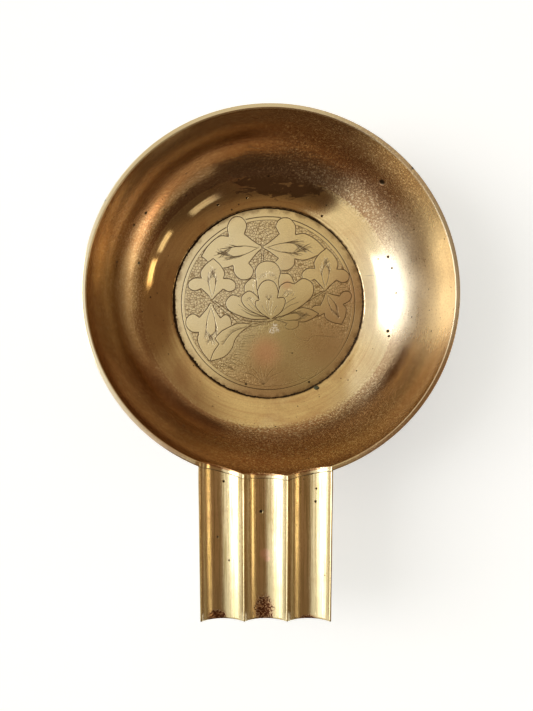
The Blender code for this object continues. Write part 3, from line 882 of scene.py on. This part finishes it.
class Metal(Graph):
    """A metal whose layers are added one by one; lengths in its nodes are mm from the dish's axis."""

    def __init__(self, name, colour, roughness):
        self.material = bpy.data.materials.new(name)
        super().__init__(self.material)
        self.shader = self.tree.nodes["Principled BSDF"]
        self.shader.inputs["Metallic"].default_value = 1.0
        place = self.node("TexCoord", {}).outputs["Object"]
        in_mm = (1 / MM, 1 / MM, 1 / MM)
        scaled = self.node("Mapping", {0: place, 3: in_mm}, vector_type="POINT").outputs[0]
        self.at = self.vector("SUBTRACT", scaled, (0, AXIS_Y / MM, 0))
        parts = self.node("SeparateXYZ", {0: self.at})
        self.x, self.y, self.z = parts.outputs[0], parts.outputs[1], parts.outputs[2]
        flat = self.node("CombineXYZ", {0: self.x, 1: self.y, 2: 0.0}).outputs[0]
        self.r = self.length(flat)
        self.colour = colour
        self.roughness = roughness
        self.height = None

    def patch(self, place, outer, inner, low=0.0, high=1.0):
        """A soft round mask about a place: low at the outer reach and high at the inner one."""
        return self.ramp(self.vector("DISTANCE", self.at, place), outer, inner, low, high)

    def tint(self, mask, colour, share=1.0, blend="MIX"):
        if share != 1.0:
            mask = self.times(mask, share)
        self.colour = self.mix(mask, self.colour, colour, blend)

    def roughen(self, mask, amount=1.0):
        """Adds to the roughness."""
        if amount != 1.0:
            mask = self.times(mask, amount)
        self.roughness = self.math("ADD", self.roughness, mask)

    def raise_by(self, value, millimetres):
        """Adds relief: value 0 to 1, times a height in mm, negative for a hollow."""
        part = self.times(value, millimetres)
        self.height = part if self.height is None else self.math("ADD", self.height, part)

    def coat(self, mask, colour, share=1.0, rough=0.0, lift=0.0):
        """A layer where the mask is: its colour, what it adds to the roughness, and its relief in mm."""
        self.tint(mask, colour, share)
        if rough:
            self.roughen(mask, rough)
        if lift:
            self.raise_by(mask, lift)

    def turned_vector(self, along=1.6):
        """A place that changes quickly across the turning marks and slowly along them."""
        angle = self.math("ARCTAN2", self.x, self.y)
        around = self.times(self.math("SINE", angle), along)
        across = self.times(self.math("COSINE", angle), along)
        section = self.math("ADD", self.r, self.z)
        return self.node("CombineXYZ", {0: around, 1: across, 2: section}).outputs[0]

    def near(self, spots):
        """A mask, 1 in the middle of each of several spots (x, y, z, radius) and 0 outside them."""
        masks = []
        reach, shift = 0.45, 0.22
        place = self.wander(self.at, 2.2, (reach, reach, reach))
        for x, y, z, radius in spots:
            distance = self.vector("DISTANCE", place, (x + shift, y + shift, z + shift))
            masks.append(self.ramp(distance, radius, 0.35 * radius))
        return self.strongest(masks)

    def age(self, brown=0.55, pale=0.5):
        """Clouds of brown tarnish and of paler rubbed metal, with fine grain."""
        cloud = self.noise(self.at, 0.055, 5, 0.6, 0.6)
        self.tint(self.ramp(cloud, 0.47, 0.72), BROWN, brown)
        rubbed = self.noise(self.at, 0.035, 4, 0.55, 0.4)
        self.tint(self.ramp(rubbed, 0.5, 0.75), PALE, pale)
        olive = self.noise(self.at, 0.09, 4, 0.6)
        self.tint(self.ramp(olive, 0.55, 0.8), OLIVE, 0.4)
        grain = self.noise(self.at, 1.6, 3, 0.7)
        self.tint(0.55, self.grey(self.ramp(grain, 0.2, 0.8, 0.8, 1.2)), blend="MULTIPLY")
        self.roughen(self.ramp(cloud, 0.35, 0.75, -0.03, 0.06))
        self.raise_by(self.noise(self.at, 0.06, 2, 0.5), 0.10)
        self.raise_by(grain, 0.006)

    def flecks(self, scale, size, share, colour, where=None, strength=0.9):
        """Small scattered pits or stains: about one cell in every 1/share holds one."""
        distance, chance = self.cells(self.at, scale)
        picked = self.node("SeparateColor", {0: chance}).outputs[0]
        size_here = self.times(self.ramp(picked, 1 - share, 1.0, 0.35, 1.0), size)
        within = self.math("LESS_THAN", distance, size_here)
        mask = self.times(within, self.math("GREATER_THAN", picked, 1 - share))
        if where is not None:
            mask = self.times(mask, where)
        self.coat(mask, colour, strength, lift=-FLECK_DEPTH)

    def done(self):
        self.put(self.colour, self.shader.inputs["Base Color"])
        self.put(self.roughness, self.shader.inputs["Roughness"])
        bump = self.node("Bump", {"Strength": 1.0, "Distance": MM, "Height": self.height})
        self.put(bump.outputs[0], self.shader.inputs["Normal"])
        return self.material


def dish_brass():
    metal = Metal("dish_brass", BRIGHT, 0.055)
    metal.age()
    turning = metal.noise(metal.turned_vector(), 0.9, 5, 0.65)
    metal.tint(metal.ramp(turning, 0.35, 0.75, 0.0, 0.35), BROWN)
    metal.roughen(metal.ramp(turning, 0.3, 0.7, -0.02, 0.03))
    metal.raise_by(turning, 0.015)
    # the wall is darker than the floor, and more so towards the lip
    metal.tint(metal.ramp(metal.z, 12.2, 12.6, 0.0, 0.66), BROWN)
    metal.tint(metal.ramp(metal.z, 14, 30, 0.0, 0.45), BROWN)
    within = metal.math("SUBTRACT", 1.0, metal.attribute("outside"))
    # a ragged tarnish stain behind the plate
    ragged = metal.noise(metal.vector("MULTIPLY", metal.at, (0.5, 1.6, 1.0)), 0.22, 6, 0.7, 0.8)
    from_stain = metal.vector("SUBTRACT", metal.at, (4, 50, 14))
    squeezed = metal.vector("MULTIPLY", from_stain, (0.45, 1.0, 0.8))
    near_stain = metal.ramp(metal.length(squeezed), 15, 3, -0.2, 0.12)
    stain = metal.times(metal.ramp(metal.math("ADD", ragged, near_stain), 0.46, 0.5), within)
    metal.coat(stain, STAIN, 0.8, 0.05)
    hazy = metal.patch((66, 6, 24), 44, 16)
    metal.coat(hazy, HAZE, 0.9, 0.19)
    # the first cloud is painted shade over the right wall's reflection band near the lip; the others are
    # tints of the wall
    for middle, outer, inner, share, colour in WALL_CLOUDS_AND_SHADE:
        metal.tint(metal.patch(middle, outer, inner), colour, share)
    back = metal.times(metal.ramp(metal.y, 20, 52), metal.ramp(metal.z, 12.1, 12.8))
    metal.tint(back, BACK_BROWN, 0.6)
    # sand sticks most at the upper right and near the handle
    corner = metal.patch((32, 50, 24), 55, 18)
    low = metal.patch((16, -54, 24), 55, 22)
    on_wall = metal.ramp(metal.z, 10.5, 12.6)
    sandy = metal.times(metal.strongest([corner, low, 0.35]), on_wall, metal.ramp(within, 0, 1, 0.3, 1.0))
    sand = metal.noise(metal.at, 1.25, 2, 0.9)
    metal.tint(metal.times(metal.ramp(sand, 0.55, 0.62), sandy), SAND_LIGHT)
    metal.tint(metal.times(metal.ramp(sand, 0.46, 0.38), sandy), SAND_DARK, 0.7)
    metal.roughen(sandy, 0.16)
    metal.raise_by(metal.times(sand, sandy), 0.05)
    metal.flecks(0.34, 0.11, 0.4, GRIME)
    metal.flecks(0.55, 0.13, 0.16, RUST, strength=0.8)
    metal.flecks(0.9, 0.16, 0.12, GRIME, sandy, strength=0.7)
    # the lip's top is rubbed pale all round, and painted paler still towards the left: a painted highlight
    # where the window's light falls on it
    lip = metal.ramp(metal.z, RIM_Z / MM - 0.9, RIM_Z / MM - 0.35)
    leftward = metal.vector("DOT_PRODUCT", metal.at, (-0.8, 0.6, 0))
    metal.tint(metal.times(lip, metal.ramp(leftward, -10, 40, 0.35, 0.9)), LIP_WEAR_AND_HIGHLIGHT)
    # grime lies along the edge of the opening
    edge = metal.ramp(metal.r, HOLE_R / MM + 0.7, HOLE_R / MM)
    broken = metal.ramp(metal.noise(metal.at, 0.5, 4), 0.4, 0.6, 0.2, 0.9)
    metal.tint(metal.times(edge, metal.ramp(metal.z, 8.2, 7.8), broken), GRIME)
    # where the handle joins, the cut wall is as bright as the handle
    notch = metal.times(metal.ramp(metal.r, 67.9, 68.3), metal.ramp(metal.y, -58, -64))
    metal.tint(notch, NOTCH_PALE, 0.85)
    curve_r, curve_z = inside_curve()
    heights = [np.interp(math.hypot(x, y) * MM, curve_r, curve_z) / MM for x, y, _ in DISH_PITS]
    pits = metal.near([(x, y, float(z), size) for (x, y, size), z in zip(DISH_PITS, heights)])
    metal.coat(pits, GRIME, 1.0, 0.4, -0.35)
    return metal.done()


def handle_brass():
    metal = Metal("handle_brass", HANDLE_METAL, 0.17)
    metal.age(0.4, 0.5)
    drawn = metal.vector("MULTIPLY", metal.at, (1.0, 0.02, 1.0))
    streaks = metal.noise(drawn, 1.4, 6, 0.75)
    metal.tint(metal.ramp(streaks, 0.46, 0.6, 0.0, 0.85), OLIVE)
    metal.tint(metal.ramp(streaks, 0.48, 0.36, 0.0, 0.6), PALE)
    metal.roughen(metal.ramp(streaks, 0.3, 0.75, -0.02, 0.08))
    metal.raise_by(streaks, 0.03)
    # duller towards the end
    metal.tint(metal.ramp(metal.y, -88, -120, 0.0, 0.55), HANDLE_END)
    end_y = (END_Y - AXIS_Y) / MM
    mid_x = HANDLE_X / MM
    flute_z = (RIM_Z - FLUTE_DEPTH) / MM
    # joint with the dish: a fine dark line that opens into cracks
    gap = metal.attribute("from_wall")
    broken = metal.ramp(metal.noise(metal.at, 0.45, 3), 0.42, 0.62, 0.25, 1.0)
    metal.tint(metal.times(metal.ramp(gap, 0.16, 0.04), broken), GRIME)
    metal.flecks(0.4, 0.11, 0.35, GRIME)
    heights = [float(flute_height(x * MM)) / MM for x, _, _ in HANDLE_PITS]
    pits = metal.near([(mid_x + x, end_y + y, z, size) for (x, y, size), z in zip(HANDLE_PITS, heights)])
    metal.coat(pits, GRIME, lift=-0.3)
    # embers have burnt the flutes' ends, the middle one most
    blotch = metal.noise(metal.at, 1.25, 3, 0.7, 0.5)
    for x, y, wide, long in BURNS:
        offset = metal.vector("SUBTRACT", metal.at, (mid_x + x, end_y + y, flute_z))
        reach = metal.length(metal.vector("DIVIDE", offset, (wide, long, 6.0)))
        above = metal.ramp(metal.z, flute_z - 1.0, flute_z - 0.4)
        solid = metal.math("ADD", metal.ramp(reach, 1.2, 0.4, -0.25, 0.04), blotch)
        burnt = metal.times(metal.ramp(solid, 0.48, 0.51), above)
        halo = metal.times(metal.ramp(reach, 1.0, 0.3), above)
        metal.tint(halo, SCORCH, 0.55)
        metal.coat(burnt, RUST, 0.93, 0.15, 0.03)
    pink_spots = ((-0.2, 24.4, 2.6), (0.6, 22.6, 1.7))
    pink = metal.near([(mid_x + x, end_y + y, flute_z, size) for x, y, size in pink_spots])
    metal.tint(pink, PINK, 0.85)
    return metal.done()


def plate_brass():
    metal = Metal("plate_brass", PLATE_METAL, 0.24)
    metal.age(0.2, 0.35)
    for x, y, outer, inner, share, colour in PLATE_CLOUDS:
        metal.tint(metal.patch((x, y, 6), outer, inner), colour, share)
    ragged = metal.ramp(metal.noise(metal.at, 0.35, 4), 0.3, 0.7, -0.8, 0.8)
    rim = metal.ramp(metal.math("ADD", metal.r, ragged), 36.4, 38.6)
    metal.tint(metal.ramp(metal.r, 34.5, 37.5, 0.0, 0.15), BROWN)
    metal.tint(rim, PLATE_RIM, 0.6)
    # punched ground between the shapes, worn away at the lower right
    squeezed = metal.vector("MULTIPLY", metal.at, (1, 1.7, 0))
    from_worn = metal.vector("DISTANCE", squeezed, (10, -36, 0))
    top = metal.ramp(metal.z, 5.9, 6.0)
    ground = metal.times(metal.attribute("ground"), metal.ramp(from_worn, 15, 31, 0.12, 1.0), top)
    line, _ = metal.cells(metal.wander(metal.at, 0.8, (0.7, 0.7, 0)), 0.92, "DISTANCE_TO_EDGE")
    walls = metal.times(metal.ramp(line, 0.13, 0.03), ground)
    metal.coat(ground, PUNCHED, 0.08, 0.08)
    metal.coat(walls, PUNCH_WALL, 0.75, lift=-0.05)
    # grime in the cuts
    groove = metal.attribute("groove")
    metal.tint(metal.ramp(groove, 0.0, 0.7, 0.0, 0.92), CUT_GRIME)
    metal.roughen(groove, 0.3)
    scratches = metal.noise(metal.vector("MULTIPLY", metal.at, (0.35, 2.6, 1)), 1.1, 4, 0.7)
    metal.tint(metal.ramp(scratches, 0.6, 0.8, 0.0, 0.35), PALE)
    metal.raise_by(scratches, 0.012)
    metal.flecks(0.3, 0.075, 0.18, GRIME, top)
    # white specks in the middle, and a few dark stains
    white = metal.near([(2.6, -9.6, 6.2, 1.9), (1.4, -11.4, 6.2, 1.7), (3.8, -11.0, 6.2, 1.2)])
    dots = metal.ramp(metal.noise(metal.at, 2.2, 2, 0.8), 0.48, 0.56)
    specks = metal.times(white, dots)
    metal.coat(specks, WHITE_SPECK, 0.95, 0.35)
    stains = metal.near([(-9, -32.7, 6.2, 0.7), (16.4, -31.9, 6.2, 0.7), (9.6, -20.2, 6.2, 0.4)])
    metal.tint(stains, GRIME)
    return metal.done()


def foot_brass():
    metal = Metal("foot_brass", BRIGHT, 0.24)
    metal.age(0.7, 0.25)
    turning = metal.noise(metal.turned_vector(0.8), 1.6, 5, 0.7)
    metal.tint(metal.ramp(turning, 0.4, 0.75, 0.0, 0.5), BROWN)
    metal.raise_by(turning, 0.03)
    worn = metal.ramp(metal.z, 0.5, 0.1)
    metal.tint(worn, PALE, 0.6)
    broken = metal.ramp(metal.noise(metal.at, 0.4, 4), 0.35, 0.7, 0.2, 0.85)
    metal.tint(metal.times(metal.ramp(metal.z, 4.6, 6.2), broken), GRIME)
    metal.flecks(0.35, 0.09, 0.3, GRIME)
    return metal.done()


def old_solder(name, colour, other, roughness):
    metal = Metal(name, colour, roughness)
    cloud = metal.noise(metal.at, 0.5, 5, 0.7)
    metal.tint(metal.ramp(cloud, 0.4, 0.68), other)
    fine = metal.noise(metal.at, 2.5, 4, 0.75)
    metal.tint(metal.ramp(fine, 0.55, 0.75, 0.0, 0.4), BROWN)
    metal.roughen(metal.ramp(fine, 0.3, 0.7, -0.08, 0.12))
    metal.raise_by(fine, 0.12)
    metal.raise_by(cloud, 0.2)
    return metal.done()


def add_piece(obj, material, slot, *nodes):
    obj.data.materials.clear()
    obj.data.materials.append(material)
    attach(obj, "root")
    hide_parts(*nodes)


def make_camera():
    """Straight down into the dish, from a little on the handle's side."""
    data = bpy.data.cameras.new("camera")
    camera = bpy.data.objects.new("camera", data)
    bpy.context.scene.collection.objects.link(camera)
    bpy.context.scene.camera = camera
    data.lens = LENS
    data.shift_x = SHIFT_X
    data.shift_y = SHIFT_Y
    data.clip_start = 10 * MM
    camera.location = (CAMERA_X, AXIS_Y + CAMERA_Y, RIM_Z + CAMERA_UP)
    turn = Matrix.Rotation(LEAN_Y, 3, "Y") @ Matrix.Rotation(LEAN_X, 3, "X")
    camera.rotation_euler = turn.to_euler()


def sky_patch(graph, direction, azimuth, wide, tilt, tall, soft):
    """A mask, 1 in a patch of sky: azimuth from +X, tilt from overhead, half sizes, all in degrees."""
    turn = math.radians(azimuth)
    ahead = graph.vector("DOT_PRODUCT", direction, (math.cos(turn), math.sin(turn), 0))
    aside = graph.vector("DOT_PRODUCT", direction, (-math.sin(turn), math.cos(turn), 0))
    around = graph.math("DEGREES", graph.math("ARCTAN2", aside, ahead))
    height = graph.node("SeparateXYZ", {0: direction}).outputs[2]
    down = graph.math("DEGREES", graph.math("ARCCOSINE", height))
    off = graph.math("ABSOLUTE", graph.math("SUBTRACT", down, tilt))
    sideways = graph.ramp(graph.math("ABSOLUTE", around), wide + soft, wide)
    return graph.times(sideways, graph.ramp(off, tall + soft, tall))


def make_lights():
    """Soft room light: a big window to the left, a warm bright side behind, a darker one in front."""
    world = bpy.data.worlds.new("studio")
    bpy.context.scene.world = world
    graph = Graph(world)
    direction = graph.node("TexCoord", {}).outputs["Generated"]
    to_back = graph.vector("DOT_PRODUCT", direction, (0, 1, 0))
    to_right = graph.vector("DOT_PRODUCT", direction, (1, 0, 0))
    behind = graph.ramp(graph.vector("DOT_PRODUCT", direction, (-0.6, 1, 0)), -0.04, 0.17)
    light = graph.mix(behind, ROOM_DARK, ROOM_WARM)
    light = graph.mix(graph.ramp(to_right, 0.1, 0.5, 0, 0.6), light, ROOM_RIGHT)
    light = graph.mix(graph.ramp(to_back, -0.12, -0.5, 0, 0.75), light, ROOM_FRONT)
    for azimuth, wide, tilt, tall, soft, colour, share in SKY:
        patch = sky_patch(graph, direction, azimuth, wide, tilt, tall, soft)
        light = graph.mix(graph.times(patch, share), light, colour)
    seen = graph.node("LightPath", {}).outputs["Is Camera Ray"]
    light = graph.mix(seen, light, BACKDROP)
    back = world.node_tree.nodes["Background"]
    graph.put(light, back.inputs["Color"])
    back.inputs["Strength"].default_value = 1.0


def make_floor():
    """A plain pale sheet of paper under the burner, with a little glow of its own."""
    line = np.linspace(-PAPER_SIDE / 2, PAPER_SIDE / 2, 24)
    x, y = np.meshgrid(line, line)
    floor = grid_object("floor", np.stack([x, y, 0 * x], -1), False, False)
    material = bpy.data.materials.new("floor_paper")
    graph = Graph(material)
    shader = material.node_tree.nodes["Principled BSDF"]
    place = graph.node("TexCoord", {}).outputs["Object"]
    shade = graph.ramp(graph.noise(place, 9, 3), 0.3, 0.7, 0.97, 1.0)
    colour = graph.mix(1.0, PAPER, graph.grey(shade), "MULTIPLY")
    graph.put(colour, shader.inputs["Base Color"])
    shader.inputs["Roughness"].default_value = 0.85
    shader.inputs["Emission Color"].default_value = (*PAPER_GLOW, 1)
    shader.inputs["Emission Strength"].default_value = 0.5
    floor.data.materials.append(material)


bpy.context.scene.view_settings.view_transform = "Standard"
dark_solder = old_solder("dark_solder", DARK_SOLDER, GRIME, 0.6)
ring_grime = old_solder("ring_grime", RING_GRIME, GRIME, 0.6)
green_solder = old_solder("green_solder", PATINA, GRIME, 0.7)
add_piece(make_bowl(), dish_brass(), "brass", "bowl")
add_piece(make_handle(), handle_brass(), "brass", "flute_handle")
add_piece(make_plate(), plate_brass(), "medallion_brass", "medallion_plate")
add_piece(make_foot_ring(), foot_brass(), "brass", "foot_ring")
add_piece(make_foot_solder(), dark_solder, "solder", "foot_solder")
add_piece(make_handle_bead(), dark_solder, "solder", "handle_solder")
add_piece(make_plate_solder(), ring_grime, "solder", "medallion_solder")
add_piece(make_floor_lump(), green_solder, "solder")
make_floor()
make_lights()
make_camera()
